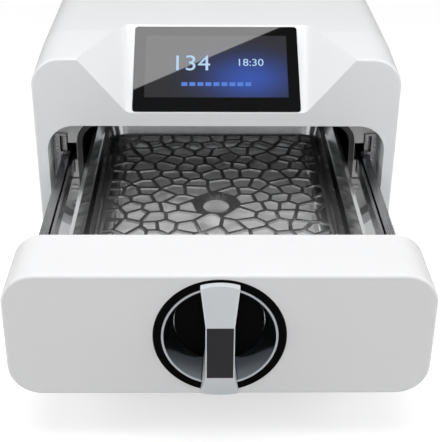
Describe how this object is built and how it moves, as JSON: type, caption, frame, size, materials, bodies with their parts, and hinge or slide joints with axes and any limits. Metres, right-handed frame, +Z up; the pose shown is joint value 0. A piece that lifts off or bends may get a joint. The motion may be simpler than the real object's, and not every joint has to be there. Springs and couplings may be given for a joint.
{
  "type": "autoclave",
  "caption": "Compact bench autoclave with a pull-out drawer: tray with a perforated insert on side slides, a turning door grip that locks the drawer, and a sloping glass screen.",
  "frame": {"origin": "on the table, in the middle of the object's outline seen from above at rest", "axes": "+X to the right seen from the front, +Y from the drawer front to the back, +Z up"},
  "size_m": [0.252, 0.7294, 0.162],
  "materials": {
    "white_enamel": "smooth semi-gloss white",
    "white_moulding": "glossy white moulded cap",
    "grey_moulding": "fine-grained light grey",
    "screen_glass": "near-black glossy cover glass",
    "display": "dark active panel",
    "circuit_board": "green board",
    "plate_steel": "satin sheet steel",
    "screw_steel": "plain screw steel",
    "chamber_steel": "polished stainless steel",
    "slide_steel": "zinc-plated slide steel",
    "tray_steel": "bright pressed stainless steel",
    "insert_steel": "stamped stainless steel",
    "bright_chrome": "mirror bright",
    "black_gloss": "black gloss",
    "silver_satin": "satin silver",
    "silicone": "translucent silicone",
    "foot_rubber": "black rubber",
    "insulation": "white fibre mat",
    "heater_pad": "red-brown silicone mat",
    "pump_casting": "cast aluminium",
    "black_plastic": "black moulded plastic",
    "valve_brass": "machined brass",
    "filter_white": "white moulded plastic"
  },
  "bodies": {
    "housing": {"air_filter": "filter_white", "base_pan": "plate_steel", "chamber_fittings": "valve_brass", "chamber_heaters": "heater_pad", "chamber_insulation": "insulation", "chamber_saddles": "plate_steel", "chamber_vessel": "chamber_steel", "condenser": "pump_casting", "control_board": "circuit_board", "display_board": "circuit_board", "display_module": "display", "door_switch": "black_plastic", "drain_filter": "chamber_steel", "electronics_shelf": "plate_steel", "fan_frame": "black_plastic", "feet": "foot_rubber", "fixed_rails": "slide_steel", "front_plate_lower": "plate_steel", "front_plate_upper": "plate_steel", "hose_connectors": "valve_brass", "keepers": "plate_steel", "mains_inlet": "black_plastic", "opening_frame": "grey_moulding", "outer_cover": "white_enamel", "plate_screws": "screw_steel", "power_supply": "pump_casting", "rear_panel": "white_enamel", "rocker_frame": "black_plastic", "screen_glass": "screen_glass", "side_frames": "plate_steel", "steam_generator": "chamber_steel", "vacuum_pump_head": "pump_casting", "vacuum_pump_motor": "black_plastic", "valve_manifold": "valve_brass", "water_pump": "black_plastic"},
    "drawer": {"drawer_front": "white_moulding", "door_carrier": "plate_steel", "carrier_screws": "screw_steel", "door_posts": "screw_steel", "chamber_door": "chamber_steel", "door_gasket": "silicone", "knob_ring": "black_gloss", "knob_bowl": "bright_chrome", "tray": "tray_steel", "tray_support": "slide_steel", "tray_insert": "insert_steel", "drawer_members": "slide_steel"},
    "knob": {"knob_hub": "black_plastic", "knob_grip": "silver_satin", "grip_plate": "black_gloss", "lock_cam": "screw_steel"},
    "slide_left": {"middle_member_left": "slide_steel"},
    "slide_right": {"middle_member_right": "slide_steel"},
    "lock_left": {"lock_arm_left": "plate_steel"},
    "lock_right": {"lock_arm_right": "plate_steel"},
    "roller_left": {"strike_roller_left": "screw_steel"},
    "roller_right": {"strike_roller_right": "screw_steel"},
    "fan": {"fan_rotor": "black_plastic"},
    "rocker": {"power_rocker": "black_plastic"}
  },
  "joints": [
    {"name": "drawer_slide", "type": "slide", "parent": "housing", "child": "drawer", "axis": [0, -1, 0], "range_m": [-0.1711, 0.1289]},
    {"name": "slide_left_travel", "type": "slide", "parent": "housing", "child": "slide_left", "axis": [0, -1, 0], "range_m": [-0.08556, 0.06446]},
    {"name": "slide_right_travel", "type": "slide", "parent": "housing", "child": "slide_right", "axis": [0, -1, 0], "range_m": [-0.08556, 0.06446]},
    {"name": "knob_turn", "type": "hinge", "parent": "drawer", "child": "knob", "pos_m": [0, -0.34332, 0.0702], "axis": [0, 1, 0], "range_deg": [0, 90]},
    {"name": "lock_left_travel", "type": "slide", "parent": "drawer", "child": "lock_left", "axis": [-1, 0, 0], "range_m": [0, 0.003]},
    {"name": "lock_right_travel", "type": "slide", "parent": "drawer", "child": "lock_right", "axis": [1, 0, 0], "range_m": [0, 0.003]},
    {"name": "roller_left_spin", "type": "hinge", "parent": "housing", "child": "roller_left", "pos_m": [-0.1096, -0.12882, 0.0874], "axis": [0, 0, 1], "continuous": true},
    {"name": "roller_right_spin", "type": "hinge", "parent": "housing", "child": "roller_right", "pos_m": [0.1096, -0.12882, 0.0874], "axis": [0, 0, 1], "continuous": true},
    {"name": "fan_spin", "type": "hinge", "parent": "housing", "child": "fan", "pos_m": [0.06, 0.33668, 0.07], "axis": [0, 1, 0], "continuous": true},
    {"name": "rocker_tilt", "type": "hinge", "parent": "housing", "child": "rocker", "pos_m": [-0.056, 0.34768, 0.038], "axis": [1, 0, 0], "range_deg": [-16, 0]}
  ],
  "couplings": [
    {"joint": "slide_left_travel", "follows": "drawer_slide", "ratio": 0.5},
    {"joint": "slide_right_travel", "follows": "drawer_slide", "ratio": 0.5},
    {"joint": "lock_left_travel", "follows": "knob_turn", "m_per_rad": 0.0019098},
    {"joint": "lock_right_travel", "follows": "knob_turn", "m_per_rad": 0.0019098}
  ]
}
